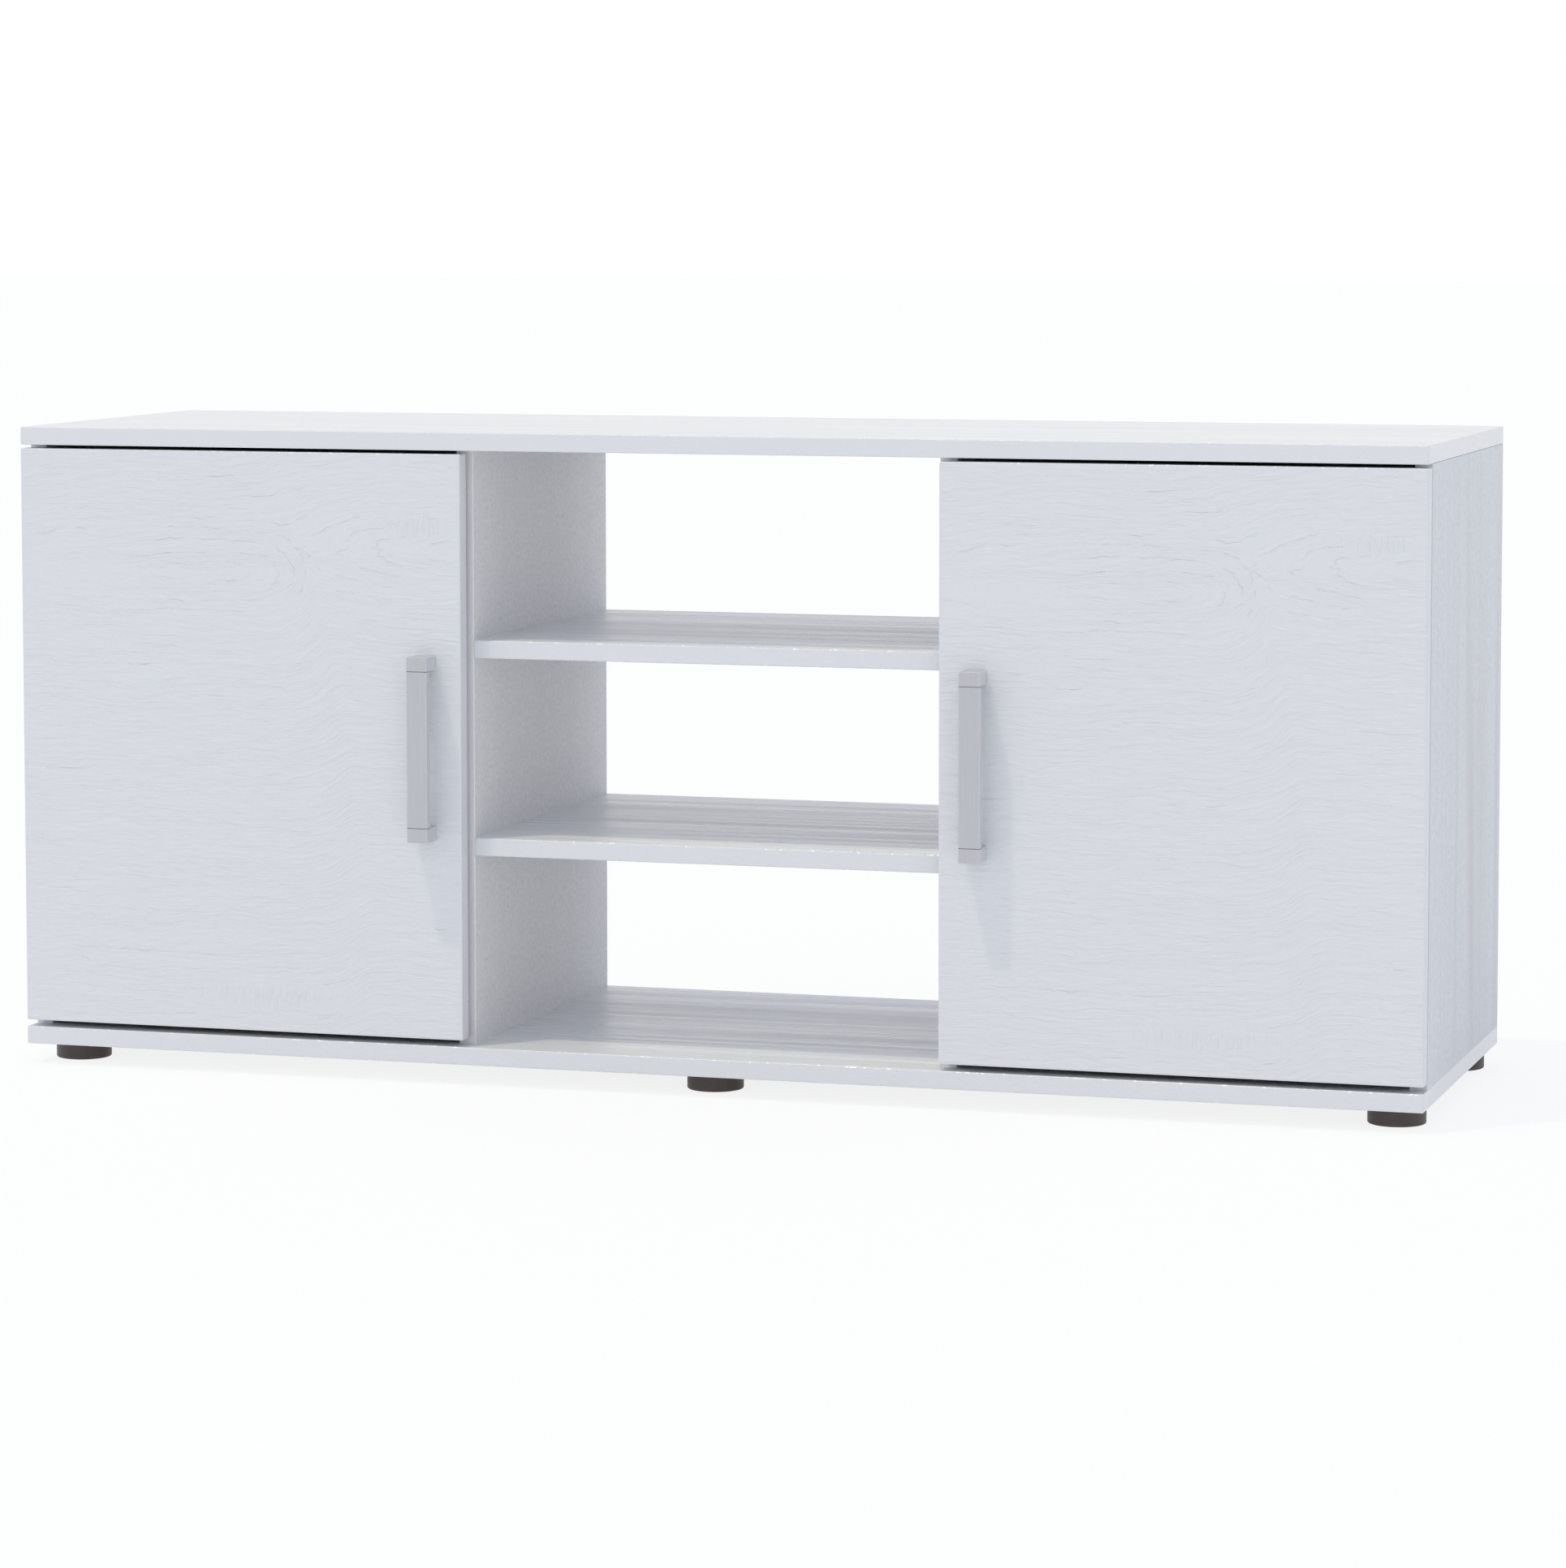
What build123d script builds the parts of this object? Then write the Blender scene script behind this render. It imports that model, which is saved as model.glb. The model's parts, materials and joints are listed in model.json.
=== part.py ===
"""A low TV stand: two cupboards with hinged doors either side of an open bay with two shelves."""

import os

from build123d import *

os.makedirs("parts", exist_ok=True)

# Driving dimensions, millimetres. X runs along the stand, -Y is its front and Z = 0 is the floor.
width = 1200  # over the end panels
depth = 360  # of the top and bottom boards
board = 15  # thickness of every chipboard panel
inside_height = 496  # clear, from the bottom board to the top board
bay_width = 400  # clear, between the two dividers
bay_end_space = 158  # clear height of the bay's lowest and highest spaces
set_back = 20  # from the top's front edge back to the uprights and shelves
edge_radius = 1.0  # rounding of the edging strip

door_reveal = 4.5  # strip of the divider's front left showing beside a closed door
door_top_gap = 3
door_bottom_gap = 5.5

handle_length = 154
handle_width = 18
handle_projection = 22
handle_post_height = 12
handle_bar_thickness = 7
handle_inset = 31  # from the door's free edge to the handle's centre line
handle_edge = 0.6
tenon_width = 12
tenon_thickness = 4
tenon_length = 5

foot_height = 17
foot_diameter = 47
foot_inset = 30  # foot centres, in from the outline of the uprights

back_thickness = 3  # hardboard back of each cupboard
back_inset = 10  # from the rear edges to the groove that holds the back
groove_depth = 6

fastener_inset = 75  # first and last fastener of each joint, in from the uprights' edges
cam_diameter = 15
cam_depth = 12
cam_drop = 24  # from a joint to the cam's centre
dowel_diameter = 8
dowel_length = 30
dowel_blind = 10  # dowel depth in the face of a board
screw_length = 50

pin_diameter = 5
pin_pitch = 32
pin_inset = 55
pin_depth = 8  # of a shelf pin, in its hole and standing out of it
shelf_gap = 0.5  # loose shelf, at each side

bumper_radius = 4.5
bumper_gap = 0.3  # left between a bumper and the divider when the door is shut

hinge_end = 90  # from the door's top and bottom edges to the hinges
pivot_inset = 8.5  # hinge pin, from the door's hinged edge and from its front face
pin_radius = 1.25
pin_length = 21
pin_clearance = 0.05  # running clearance of the arm on its pin
cup_radius = 17.5
cup_depth = 11.5
cup_inset = 21  # from the door's hinged edge to the cup's centre
cup_wall = 0.9
flange = 1.2  # rim of the cup, on the door's back
flange_size = (14, 62)
cup_screw_offset = 8  # from the cup's centre line to its screws
cup_screw_spacing = 48
neck_thickness = 2.6  # cranked neck of the arm
neck_width = 10
neck_inset = 17.4  # from the cabinet's end to the neck's long leg
knuckle_radius = 2.4
arm_size = (9, 58, 17)  # channel of the arm: height, length, width
arm_wall = 1.4
arm_start = 28  # from the door's front face to the channel
plate_thickness = 2
plate_wing = (18, 46)
plate_base = (44, 15)
plate_block = (10, 30, 13)  # block inside the channel: height, length, width
plate_screw_row = 37  # from the end panel's front edge to the plate's screws
plate_screw_spacing = 32
arm_screw_row = 42  # from the end panel's front edge to the arm's screw
fit = 0.1  # clearance around anything that sits in a hole

# Places worked out from them. The handles are part of the depth, which is centred on Y = 0.
front = handle_projection - (depth + handle_projection) / 2
back = front + depth
mid_y = (front + back) / 2
upright_front = front + set_back
upright_depth = back - upright_front
upright_y = (upright_front + back) / 2
floor_z = foot_height + board
ceiling_z = floor_z + inside_height
inside_z = (floor_z + ceiling_z) / 2
groove_y = back - back_inset - back_thickness / 2
end_x = (width - board) / 2
divider_x = (bay_width + board) / 2
cupboard_x = (end_x + divider_x) / 2
cupboard_width = end_x - divider_x - board
lower_shelf_z = floor_z + bay_end_space + board / 2
upper_shelf_z = ceiling_z - bay_end_space - board / 2
fastener_ys = (upright_front + fastener_inset, back - fastener_inset)
foot_xs = {"left": foot_inset - width / 2, "centre": 0, "right": width / 2 - foot_inset}
foot_ys = {"front": upright_front + foot_inset, "rear": back - foot_inset}

door_width = width / 2 - bay_width / 2 - door_reveal
door_height = inside_height - door_top_gap - door_bottom_gap
door_z = floor_z + door_bottom_gap + door_height / 2
door_back = front + board
hinge_zs = {"upper": door_z + door_height / 2 - hinge_end, "lower": door_z - door_height / 2 + hinge_end}
hinge_screw_y = upright_front + plate_screw_row
hinge_screw_zs = [z + half * plate_screw_spacing / 2 for z in hinge_zs.values() for half in (-1, 1)]
handle_front = front - handle_projection
post_offset = (handle_length - handle_post_height) / 2
post_zs = {"upper": door_z + post_offset, "lower": door_z - post_offset}
arm_base = board + plate_thickness + 1  # from the cabinet's end to the underside of the hinge arm

sides = {"left": -1, "right": 1}
upright_xs = [sign * x for sign in sides.values() for x in (end_x, divider_x)]
into = (Align.CENTER, Align.CENTER, Align.MAX)  # a solid that goes in from the face it is placed on
out_of = (Align.CENTER, Align.CENTER, Align.MIN)  # a solid that stands on the face it is placed on


def save(builder, name):
    """Label a finished piece and write it."""
    builder.part.label = name
    export_step(builder.part, f"parts/{name}.step")


def on_face(points, outward):
    """Planes at points on a face, for what is drilled or driven in against the face's normal."""
    return [Plane(origin=point, z_dir=outward) for point in points]


def cross_recess(planes, size):
    """A cross-shaped driver recess in the screw or cam at each plane."""
    with Locations(*planes):
        Box(size, size / 5, size / 4, align=into, mode=Mode.SUBTRACT)
        Box(size / 5, size, size / 4, align=into, mode=Mode.SUBTRACT)


def pan_screws(name, planes, head_radius, head_height, shank_radius, length):
    """A group of pan-head screws whose heads stand on the face at each plane."""
    with BuildPart() as screws:
        with Locations(*planes):
            Cylinder(shank_radius, length, align=into)
            Cylinder(head_radius, head_height, align=out_of)
        cross_recess([plane.offset(head_height) for plane in planes], head_radius)
    save(screws, name)


# Top and bottom boards: the full outline, with a stopped groove over each cupboard for its back.
def outer_board(name, z, joint_z, inward):
    """The top or bottom board; joint_z is its inner face and inward points into the cabinet."""
    with BuildPart() as panel:
        with Locations((0, mid_y, z)):
            Box(width, depth, board)
        fillet(panel.edges(), edge_radius)
        with Locations(*[(sign * cupboard_x, groove_y, joint_z) for sign in sides.values()]):
            groove_length = cupboard_width + 2 * groove_depth
            Box(groove_length, back_thickness + 2 * fit, 2 * groove_depth, mode=Mode.SUBTRACT)
        with Locations(*on_face([(x, upright_y, joint_z) for x in upright_xs], inward)):
            Hole(dowel_diameter / 2, dowel_blind + fit)
        if name == "top_panel":
            with Locations(*on_face([(x, y, joint_z) for x in upright_xs for y in fastener_ys], inward)):
                Hole(2.5, 11)
        else:
            heads = [(x, y, foot_height) for x in upright_xs for y in fastener_ys]
            with Locations(*on_face(heads, (0, 0, -1))):
                CounterSinkHole(3.6, 5.1, counter_sink_angle=90)
            pilots = [(x, y, foot_height) for x in foot_xs.values() for y in foot_ys.values()]
            with Locations(*on_face(pilots, (0, 0, -1))):
                Hole(2, 11 + fit)
    save(panel, name)


outer_board("top_panel", ceiling_z + board / 2, ceiling_z, (0, 0, -1))
outer_board("bottom_panel", floor_z - board / 2, floor_z, (0, 0, 1))

# Uprights: an end panel and a divider for each cupboard, drilled on the face that looks into it.
pin_ys = (upright_front + pin_inset, back - pin_inset)
pin_zs = [inside_z + row * pin_pitch for row in range(-2, 3)]


def upright(name, x, cupboard):
    """An end panel or divider; cupboard is the X direction that its drilled face looks."""
    face = x + cupboard * board / 2
    outward = (cupboard, 0, 0)
    with BuildPart() as panel:
        with Locations((x, upright_y, inside_z)):
            Box(board, upright_depth, inside_height)
        fillet(panel.edges().filter_by(Axis.Z), edge_radius)
        with Locations((face, groove_y, inside_z)):
            Box(2 * groove_depth, back_thickness + 2 * fit, inside_height, mode=Mode.SUBTRACT)
        with Locations(*on_face([(face, y, ceiling_z - cam_drop) for y in fastener_ys], outward)):
            Hole(cam_diameter / 2 + fit, cam_depth + fit)
        with Locations(*on_face([(x, y, ceiling_z) for y in fastener_ys], (0, 0, 1))):
            Hole(3.5, cam_drop)
        with Locations(*on_face([(x, y, floor_z) for y in fastener_ys], (0, 0, -1))):
            Hole(2.6, screw_length - board + 1)
        for z, end in ((ceiling_z, (0, 0, 1)), (floor_z, (0, 0, -1))):
            with Locations(*on_face([(x, upright_y, z)], end)):
                Hole(dowel_diameter / 2, dowel_length - dowel_blind + fit)
        with Locations(*on_face([(face, y, z) for y in pin_ys for z in pin_zs], outward)):
            Hole(pin_diameter / 2, pin_depth + fit)
        if "divider" in name:
            drill_for_shelves(x, cupboard)
        else:
            with Locations(*on_face([(face, hinge_screw_y, z) for z in hinge_screw_zs], outward)):
                Hole(1.8, 12)
    save(panel, name)


def drill_for_shelves(x, cupboard):
    """The bay shelves' screw and dowel holes in the divider that is being made."""
    levels = (lower_shelf_z, upper_shelf_z)
    face = x + cupboard * board / 2
    with Locations(*on_face([(face, y, z) for y in fastener_ys for z in levels], (cupboard, 0, 0))):
        CounterSinkHole(3.6, 5.1, counter_sink_angle=90)
    bay_face = x - cupboard * board / 2
    with Locations(*on_face([(bay_face, upright_y, z) for z in levels], (-cupboard, 0, 0))):
        Hole(dowel_diameter / 2, dowel_blind + fit)


for hand, sign in sides.items():
    upright(f"{hand}_end_panel", sign * end_x, -sign)
    upright(f"{hand}_divider", sign * divider_x, sign)

# Fixed shelves of the open bay, screwed and dowelled between the dividers.
shelf_levels = {"lower": lower_shelf_z, "upper": upper_shelf_z}
for level, z in shelf_levels.items():
    with BuildPart() as bay_shelf:
        with Locations((0, upright_y, z)):
            Box(bay_width, upright_depth, board)
        fillet(bay_shelf.edges().filter_by(Axis.X), edge_radius)
        for sign in sides.values():
            shelf_end = sign * bay_width / 2
            with Locations(*on_face([(shelf_end, y, z) for y in fastener_ys], (sign, 0, 0))):
                Hole(2.6, screw_length - board + 1)
            with Locations(*on_face([(shelf_end, upright_y, z)], (sign, 0, 0))):
                Hole(dowel_diameter / 2, dowel_length - dowel_blind + fit)
    save(bay_shelf, f"{level}_bay_shelf")

# Cupboards: a hardboard back held in the grooves and a loose shelf on four pins.
loose_shelf_z = inside_z + pin_diameter / 2 + fit + board / 2
loose_shelf_front = upright_front + 10
loose_shelf_back = groove_y - back_thickness / 2 - 2
for hand, sign in sides.items():
    with BuildPart() as back_panel:
        with Locations((sign * cupboard_x, groove_y, inside_z)):
            margin = 2 * (groove_depth - 1)
            Box(cupboard_width + margin, back_thickness, inside_height + margin)
    save(back_panel, f"{hand}_back_panel")

    with BuildPart() as loose_shelf:
        with Locations((sign * cupboard_x, (loose_shelf_front + loose_shelf_back) / 2, loose_shelf_z)):
            Box(cupboard_width - 2 * shelf_gap, loose_shelf_back - loose_shelf_front, board)
        fillet(loose_shelf.edges().filter_by(Axis.X), edge_radius)
    save(loose_shelf, f"{hand}_cupboard_shelf")

with BuildPart() as shelf_pins:
    for sign in sides.values():
        for offset in (-1, 1):
            face = sign * (cupboard_x + offset * cupboard_width / 2)
            with Locations(*on_face([(face, y, inside_z) for y in pin_ys], (-sign * offset, 0, 0))):
                Cylinder(pin_diameter / 2 - fit, 2 * pin_depth)
save(shelf_pins, "shelf_pins")

# Hidden joinery: cam locks and bolts under the top, dowels in every joint, long screws elsewhere.
cam_seats = []
for sign in sides.values():
    for x, cupboard in ((sign * end_x, -sign), (sign * divider_x, sign)):
        face = x + cupboard * board / 2
        cam_seats += on_face([(face, y, ceiling_z - cam_drop) for y in fastener_ys], (cupboard, 0, 0))

with BuildPart() as cam_locks:
    with Locations(*cam_seats):
        Cylinder(cam_diameter / 2, cam_depth, align=into)
    with Locations(*[(x, y, ceiling_z - cam_drop - 4) for x in upright_xs for y in fastener_ys]):
        Cylinder(3.6, cam_diameter, align=out_of, mode=Mode.SUBTRACT)
    cross_recess(cam_seats, 9)
save(cam_locks, "cam_locks")

with BuildPart() as cam_bolts:
    with Locations(*[(x, y, ceiling_z) for x in upright_xs for y in fastener_ys]):
        Cylinder(2.4, 10.5, align=out_of)
        Cylinder(3.3, cam_drop - 5, align=into)
        Cylinder(1.8, cam_drop, align=into)
    with Locations(*[(x, y, ceiling_z - cam_drop) for x in upright_xs for y in fastener_ys]):
        Cylinder(3.3, 3)
save(cam_bolts, "cam_bolts")

with BuildPart() as wood_dowels:
    for z, offset in ((ceiling_z, -1), (floor_z, 1)):
        reach = z + offset * (dowel_length / 2 - dowel_blind)
        with Locations(*[(x, upright_y, reach) for x in upright_xs]):
            Cylinder(dowel_diameter / 2 - fit, dowel_length)
    for sign in sides.values():
        reach = sign * (bay_width / 2 - dowel_length / 2 + dowel_blind)
        with Locations(*[(reach, upright_y, z) for z in shelf_levels.values()]):
            Cylinder(dowel_diameter / 2 - fit, dowel_length, rotation=(0, 90, 0))
save(wood_dowels, "wood_dowels")


def joint_screws(name, planes):
    """A group of long countersunk joint screws with hexagon sockets, flush with the face."""
    with BuildPart() as screws:
        with Locations(*planes):
            Cylinder(2.5, screw_length, align=into)
            Cylinder(3.5, board, align=into)
            Cone(3.5, 4.9, 1.4, align=into)
        with BuildSketch(*planes):
            RegularPolygon(2.2, 6)
        extrude(amount=-3, mode=Mode.SUBTRACT)
    save(screws, name)


base_heads = [(x, y, foot_height) for x in upright_xs for y in fastener_ys]
joint_screws("base_screws", on_face(base_heads, (0, 0, -1)))
shelf_heads = []
for sign in sides.values():
    face = sign * (divider_x + board / 2)
    points = [(face, y, z) for y in fastener_ys for z in shelf_levels.values()]
    shelf_heads += on_face(points, (sign, 0, 0))
joint_screws("bay_shelf_screws", shelf_heads)

# Round feet, each held by a screw recessed in its underside.
foot_recess = 8
for row, y in foot_ys.items():
    for place, x in foot_xs.items():
        with BuildPart() as foot:
            with Locations((x, y, foot_height / 2)):
                Cylinder(foot_diameter / 2, foot_height)
            fillet(foot.edges().sort_by(Axis.Z)[0], 1.5)
            with Locations(*on_face([(x, y, 0)], (0, 0, -1))):
                CounterBoreHole(2.2, 6.5, foot_recess)
        save(foot, f"{row}_{place}_foot")

foot_seats = [(x, y, foot_recess) for y in foot_ys.values() for x in foot_xs.values()]
pan_screws("foot_screws", on_face(foot_seats, (0, 0, -1)), 4.5, 3, 1.9, foot_height - foot_recess + 11)


# Doors. u is measured in from the cabinet's end and v back from the door's front face.
def at(sign, u, v):
    """The X and Y of a point given by its distances u and v."""
    return sign * (width / 2 - u), front + v


def door(hand, sign):
    """A door panel, bored on its back for the hinge cups and right through for the handle."""
    with BuildPart() as panel:
        with Locations((sign * (width - door_width) / 2, front + board / 2, door_z)):
            Box(door_width, board, door_height)
        fillet(panel.edges(), edge_radius)
        with Locations(*on_face([at(sign, cup_inset, board) + (z,) for z in hinge_zs.values()], (0, 1, 0))):
            Hole(cup_radius + fit, cup_depth + fit)
        with Locations(*cup_screw_planes(sign, 0)):
            Hole(1.8, 11)
        with Locations(*handle_screw_planes(sign)):
            Hole(2.2)
    save(panel, f"{hand}_door")


def cup_screw_planes(sign, rise):
    """Where a door's cup screws go in, at a height above the door's back."""
    x, y = at(sign, cup_inset + cup_screw_offset, board + rise)
    offsets = (-cup_screw_spacing / 2, cup_screw_spacing / 2)
    return on_face([(x, y, z + offset) for z in hinge_zs.values() for offset in offsets], (0, 1, 0))


def handle_x(sign):
    """The centre line of a handle."""
    return sign * (width / 2 - door_width + handle_inset)


def handle_screw_planes(sign):
    """Where a handle's screws go in, on the door's back."""
    return on_face([(handle_x(sign), door_back, z) for z in post_zs.values()], (0, 1, 0))


def handle(hand, sign):
    """A flat bar tenoned between two deeper posts and flush with them in front."""
    x = handle_x(sign)
    bar_y = handle_front + handle_bar_thickness / 2
    bar_length = handle_length - 2 * handle_post_height
    with BuildPart() as bar:
        with Locations((x, bar_y, door_z)):
            Box(handle_width, handle_bar_thickness, bar_length)
        fillet(bar.edges(), handle_edge)
        with Locations((x, bar_y, door_z)):
            Box(tenon_width, tenon_thickness, bar_length + 2 * tenon_length)
    save(bar, f"{hand}_handle_bar")

    for level, z in post_zs.items():
        with BuildPart() as post:
            with Locations((x, front - handle_projection / 2, z)):
                Box(handle_width, handle_projection, handle_post_height)
            fillet(post.edges(), handle_edge)
            with Locations((x, bar_y, door_z)):
                mortise_span = bar_length + 2 * (tenon_length + fit)
                Box(tenon_width + 2 * fit, tenon_thickness + 2 * fit, mortise_span, mode=Mode.SUBTRACT)
            with Locations(*on_face([(x, front, z)], (0, 1, 0))):
                Hole(2, 12)
        save(post, f"{hand}_handle_{level}_post")
    pan_screws(f"{hand}_handle_screws", handle_screw_planes(sign), 4, 2.5, 1.9, board + 10)


def bumpers(hand, sign):
    """Soft pads on the door's back, opposite the divider's front edge."""
    x = sign * (divider_x + door_reveal / 2)
    heights = (door_z + door_height / 2 - 30, door_z - door_height / 2 + 30)
    with BuildPart() as pads:
        with Locations(*on_face([(x, door_back, z) for z in heights], (0, 1, 0))):
            Cylinder(bumper_radius, set_back - board - bumper_gap, align=out_of)
        fillet(pads.edges().group_by(Axis.Y)[-1], 1.5)
    save(pads, f"{hand}_door_bumpers")


def hinge_cup(name, sign, z):
    """A cup let into the door's back, with a flange for its screws and holes for the pin's ends."""
    x, _ = at(sign, cup_inset, 0)
    with BuildPart() as cup:
        with BuildSketch(Plane.XZ.offset(-door_back)):
            with Locations((x, z)):
                Circle(cup_radius)
        extrude(amount=cup_depth)
        with BuildSketch(Plane.XZ.offset(-door_back)):
            with Locations((x, z)):
                Circle(cup_radius + 1.5)
            with Locations((x - sign * cup_screw_offset, z)):
                RectangleRounded(*flange_size, 4)
                with GridLocations(1, cup_screw_spacing, 1, 2):
                    Circle(2, mode=Mode.SUBTRACT)
        extrude(amount=-flange)
        with Locations(*on_face([(x, door_back + flange, z)], (0, 1, 0))):
            Hole(cup_radius - cup_wall, cup_depth)
        with Locations(at(sign, pivot_inset, pivot_inset) + (z,)):
            Cylinder(pin_radius + 0.02, pin_length, mode=Mode.SUBTRACT)
    save(cup, name)


def hinge_arm(name, sign, z):
    """A cranked neck that turns on the pin, and the channel that clips over the plate's block."""
    height, length, breadth = arm_size
    half_neck = neck_thickness / 2
    neck_top = neck_inset + neck_thickness
    with BuildPart() as arm:
        with BuildSketch(Plane.XY.offset(z - neck_width / 2)):
            with BuildLine():
                Polyline(
                    at(sign, pivot_inset, pivot_inset - half_neck),
                    at(sign, neck_top, pivot_inset - half_neck),
                    at(sign, neck_top, arm_start + arm_wall),
                    at(sign, neck_inset, arm_start + arm_wall),
                    at(sign, neck_inset, pivot_inset + half_neck),
                    at(sign, pivot_inset, pivot_inset + half_neck),
                    close=True,
                )
            make_face()
            with Locations(at(sign, pivot_inset, pivot_inset)):
                Circle(knuckle_radius)
                Circle(pin_radius + pin_clearance, mode=Mode.SUBTRACT)
        extrude(amount=neck_width)
        with Locations(at(sign, arm_base + height / 2, arm_start + length / 2) + (z,)):
            Box(height, length, breadth)
        fillet(arm.edges().filter_by(Axis.Y).group_by(SortBy.LENGTH)[-1], 1)
        hollow = (height - arm_wall, length, breadth - 2 * arm_wall)
        with Locations(at(sign, arm_base + hollow[0] / 2, arm_start + arm_wall + length / 2) + (z,)):
            Box(*hollow, mode=Mode.SUBTRACT)
        with Locations(*on_face([arm_screw_point(sign, z)], (-sign, 0, 0))):
            Hole(2.2, 2 * arm_wall)
    save(arm, name)


def arm_screw_point(sign, z):
    """Where an arm's screw goes in, on top of its channel."""
    return at(sign, arm_base + arm_size[0], set_back + arm_screw_row) + (z,)


def hinge_plate(name, sign, z):
    """A cross-shaped plate on the end panel, with the block that the arm is screwed to."""
    with BuildPart() as plate:
        with BuildSketch(Plane.YZ.offset(sign * (width / 2 - board))):
            with Locations((hinge_screw_y, z)):
                RectangleRounded(*plate_wing, 4)
                RectangleRounded(*plate_base, 3)
                with GridLocations(1, plate_screw_spacing, 1, 2):
                    Circle(2, mode=Mode.SUBTRACT)
        extrude(amount=-sign * plate_thickness)
        block_top = board + plate_block[0]
        with Locations(at(sign, board + plate_block[0] / 2, set_back + arm_screw_row) + (z,)):
            Box(*plate_block)
        with Locations(*on_face([at(sign, block_top, set_back + arm_screw_row) + (z,)], (-sign, 0, 0))):
            Hole(2, plate_block[0] - plate_thickness)
    save(plate, name)


plate_seats = []
arm_seats = []
for hand, sign in sides.items():
    door(hand, sign)
    handle(hand, sign)
    bumpers(hand, sign)
    for level, z in hinge_zs.items():
        hinge_cup(f"{hand}_{level}_hinge_cup", sign, z)
        hinge_arm(f"{hand}_{level}_hinge_arm", sign, z)
        hinge_plate(f"{hand}_{level}_hinge_plate", sign, z)
    with BuildPart() as pins:
        with Locations(*[at(sign, pivot_inset, pivot_inset) + (z,) for z in hinge_zs.values()]):
            Cylinder(pin_radius, pin_length)
    save(pins, f"{hand}_hinge_pins")
    pan_screws(f"{hand}_cup_screws", cup_screw_planes(sign, flange), 3.4, 1.6, 1.7, 11)
    plate_face = sign * (width / 2 - board - plate_thickness)
    plate_seats += on_face([(plate_face, hinge_screw_y, z) for z in hinge_screw_zs], (-sign, 0, 0))
    arm_seats += on_face([arm_screw_point(sign, z) for z in hinge_zs.values()], (-sign, 0, 0))

pan_screws("hinge_plate_screws", plate_seats, 3.4, 1.6, 1.7, 13)
pan_screws("hinge_arm_screws", arm_seats, 3.6, 2, 1.9, 9)
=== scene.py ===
"""Looks of a low white TV stand.

Melamine boards, doors with pressed grain, satin handles, dark feet and plated fittings.
"""

import json
import math

import bpy
from bpy.props import FloatProperty, FloatVectorProperty, PointerProperty
from bpy.types import Operator, Panel, PropertyGroup
from mathutils import Euler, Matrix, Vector


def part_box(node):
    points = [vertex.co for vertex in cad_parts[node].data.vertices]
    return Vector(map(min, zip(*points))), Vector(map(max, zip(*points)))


bl_info = {
    "name": "White TV stand",
    "version": (1, 0, 0),
    "blender": (4, 5, 0),
    "location": "View3D > Sidebar > TV Stand",
    "description": "Gives the boards, doors and fittings of a low TV stand their finishes and sets its stage",
    "category": "Object",
}

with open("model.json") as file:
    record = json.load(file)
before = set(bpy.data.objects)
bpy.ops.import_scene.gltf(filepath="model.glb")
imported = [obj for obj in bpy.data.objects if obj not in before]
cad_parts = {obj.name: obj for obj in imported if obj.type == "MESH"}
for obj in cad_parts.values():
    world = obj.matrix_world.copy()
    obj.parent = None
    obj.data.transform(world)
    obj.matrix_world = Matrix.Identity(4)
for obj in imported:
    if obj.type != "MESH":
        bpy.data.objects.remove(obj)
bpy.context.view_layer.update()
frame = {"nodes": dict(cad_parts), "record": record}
FAR = 10.0  # metres, beyond every board


# Settings

def colour_property(name, description, default):
    """A colour that a user may change."""
    return FloatVectorProperty(
        name=name, description=description, subtype="COLOR", size=3, min=0, max=1, default=default)


def length_property(name, description, default):
    """A length in metres."""
    return FloatProperty(
        name=name, description=description, unit="LENGTH", precision=5, min=0, default=default)


def share_property(name, description, default):
    """A share from 0 to 1."""
    return FloatProperty(
        name=name, description=description, subtype="FACTOR", min=0, max=1, default=default)


def level_property(name, description, default):
    """A strength of light."""
    return FloatProperty(name=name, description=description, min=0, default=default)


class BoardSettings(PropertyGroup):
    """White melamine of the carcass."""
    white: colour_property("White", "Ground colour of the melamine", (0.80, 0.81, 0.83))
    # Painted light: the dividers' ground colour is paler and warmer than the white, standing in for warm
    # light bounced into the bays
    divider_bounce_white: colour_property(
        "Divider white", "Warmer ground colour of the dividers", (0.84, 0.835, 0.835))
    cool_print: colour_property("Cool print", "Colour of the fine printed streaks", (0.62, 0.65, 0.71))
    warm_print: colour_property("Warm print", "Colour of the broad printed bands", (0.645, 0.645, 0.645))
    print_strength: share_property("Print strength", "How much of the print shows on the white", 0.60)
    streak_length: length_property("Streak length", "Length of a printed streak", 0.80)
    streak_breadth: length_property("Streak breadth", "Breadth of a printed band", 0.024)
    pebble_size: length_property("Pebble size", "Size of the pebbles, most seen on the uprights", 0.0035)
    pore_size: length_property("Pore size", "Spacing of the fine pressed pores", 0.0024)
    relief: length_property("Relief", "Depth of the pressed pores", 0.00022)
    edging: length_property("Edging", "Thickness of the plain edging strip", 0.0012)
    arris: length_property("Arris", "Rounding of the boards' arrises", 0.0010)
    roughness: share_property("Roughness", "Roughness of the smooth flat boards", 0.34)
    upright_roughness: share_property("Upright roughness", "Roughness of the pebbled uprights", 0.58)
    edging_roughness: share_property("Edging roughness", "Roughness of the smoother edging strip", 0.20)
    edging_relief: length_property("Edging relief", "Unevenness of the edging strip", 0.00030)
    # The colour of the rubbed spots is a painted highlight that whitens them in place of glints of the key
    # light
    glint_white: colour_property("Rubbed white", "Colour of the rubbed spots", (0.97, 0.97, 0.97))
    rubbed_roughness: share_property("Rubbed roughness", "Roughness of the rubbed spots", 0.21)


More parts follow.
